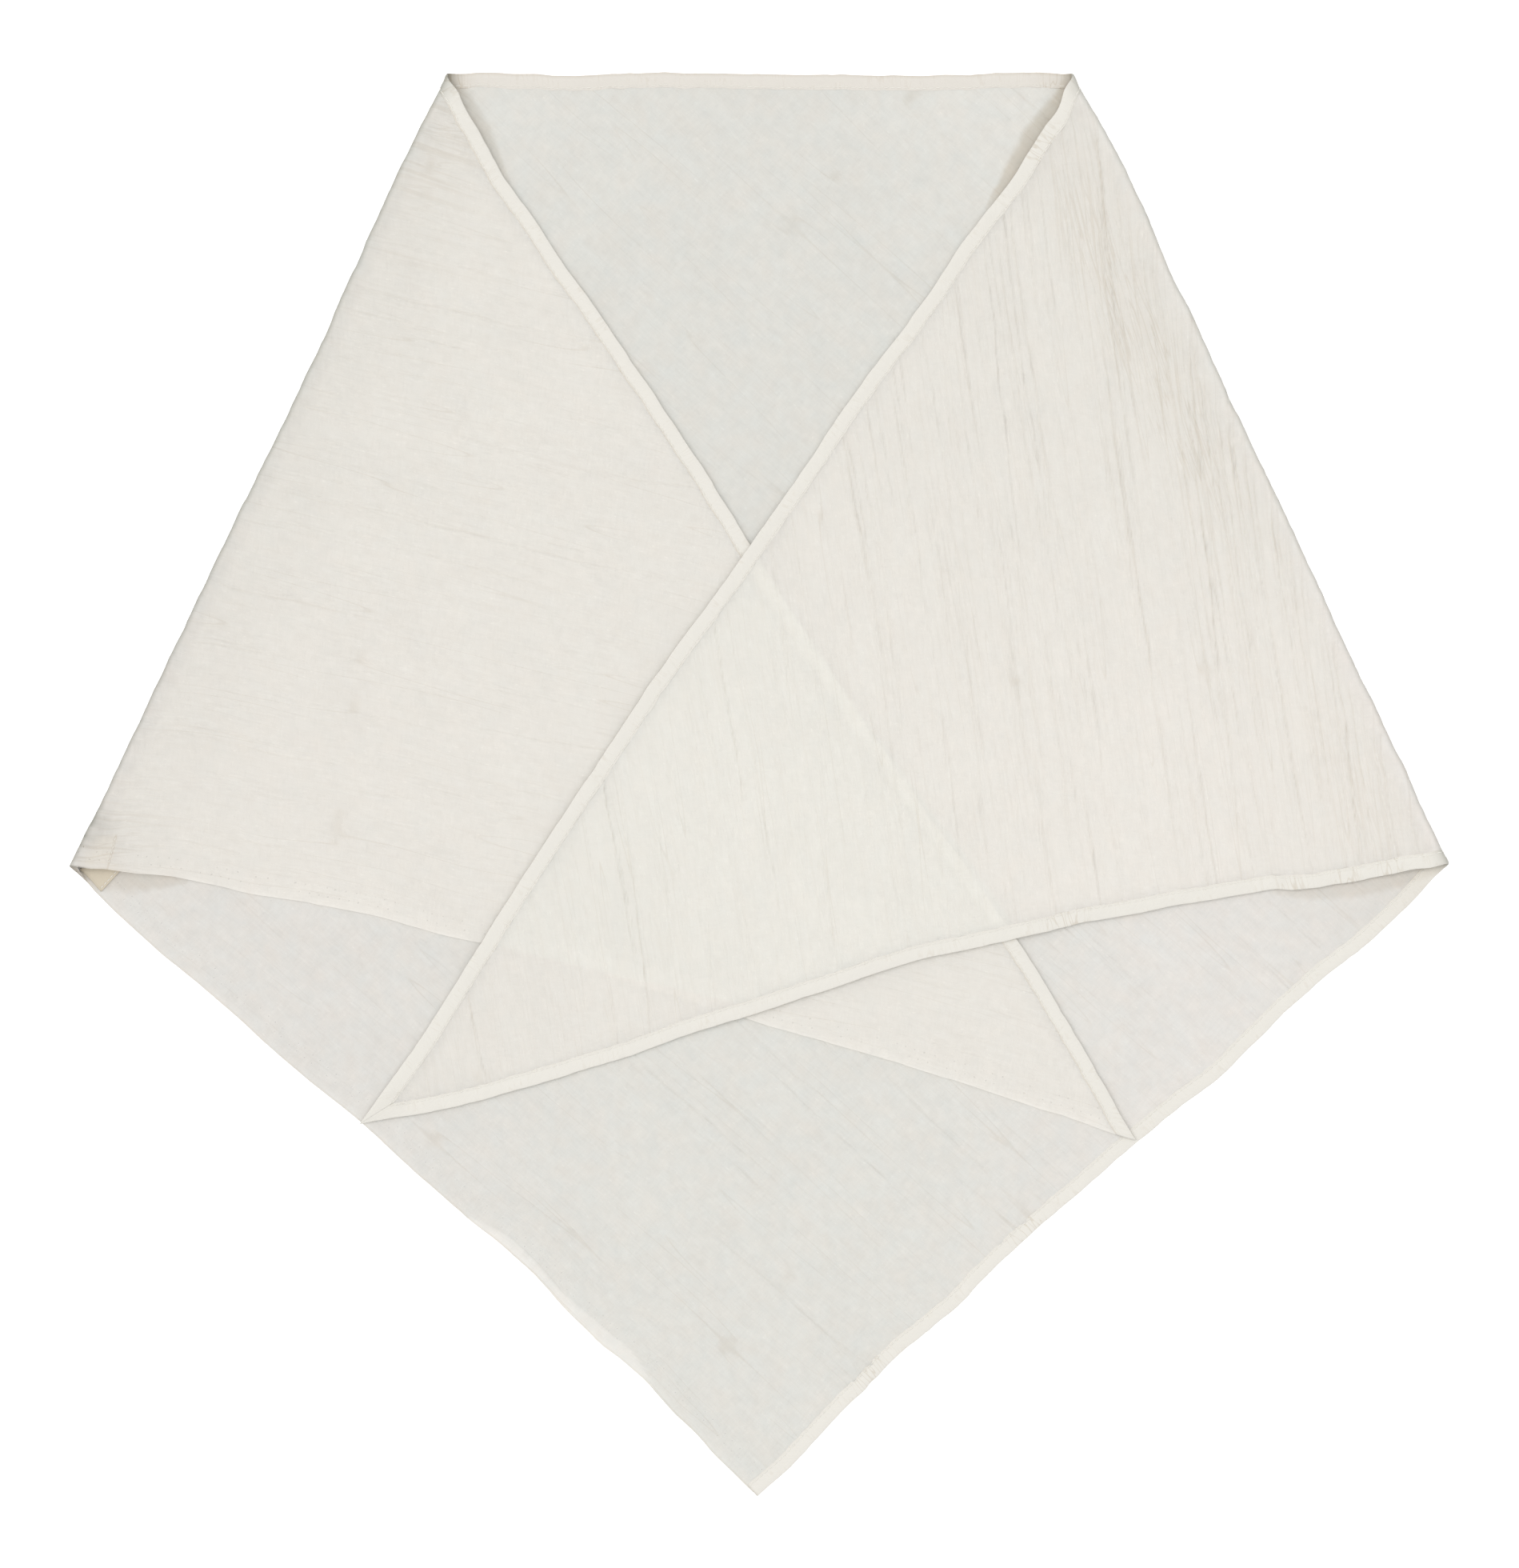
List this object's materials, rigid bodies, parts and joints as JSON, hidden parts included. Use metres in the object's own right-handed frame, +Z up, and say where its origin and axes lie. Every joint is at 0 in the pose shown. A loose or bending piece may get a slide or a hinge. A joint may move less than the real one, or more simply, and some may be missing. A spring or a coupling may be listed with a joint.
{
  "type": "arm sling",
  "caption": "Triangular sling of sheer crinkled cotton with bound edges, folded flat with its long tips turned in over the back panel, where they can unfold.",
  "frame": {"origin": "under the middle of the folded sling, on the surface that it lies on", "axes": "+Y from the pointed corner (the sling's elbow corner) to the straight top edge, +X to the right seen from above with that top edge upwards, +Z up, out of the back panel towards the folded tips"},
  "size_m": [0.647, 0.6676, 0.0065],
  "materials": {
    "muslin": "matte sheer crinkled cotton, cream",
    "binding_tape": "matte cotton bias tape, cream",
    "thread": "spun sewing thread, off-white",
    "label": "woven satin label, blank"
  },
  "bodies": {
    "back": {"back_panel": "muslin", "top_binding": "binding_tape", "top_thread": "thread", "lower_right_binding": "binding_tape", "lower_right_thread": "thread", "left_fold": "muslin", "right_fold": "muslin", "label_back_half": "label", "label_back_thread": "thread"},
    "left_flap": {"left_flap_panel": "muslin", "left_flap_binding": "binding_tape", "left_flap_thread": "thread", "label_flap_half": "label", "label_flap_thread": "thread"},
    "right_flap": {"right_flap_panel": "muslin", "right_flap_upper_binding": "binding_tape", "right_flap_upper_thread": "thread", "right_flap_lower_binding": "binding_tape", "right_flap_lower_thread": "thread"}
  },
  "joints": [
    {"name": "right_unfold", "type": "hinge", "parent": "back", "child": "right_flap", "pos_m": [0.3212, -0.0381, 0.00325], "axis": [-0.43, 0.9028, 0], "range_deg": [0, 180], "deforming": ["right_fold"]},
    {"name": "left_unfold", "type": "hinge", "parent": "back", "child": "left_flap", "pos_m": [-0.14484, 0.3332, 0.0021], "axis": [-0.4308, -0.9024, 0], "range_deg": [0, 180], "deforming": ["left_fold"]}
  ],
  "couplings": [
    {"joint": "left_unfold", "follows": "right_unfold", "ratio": 0.45}
  ]
}
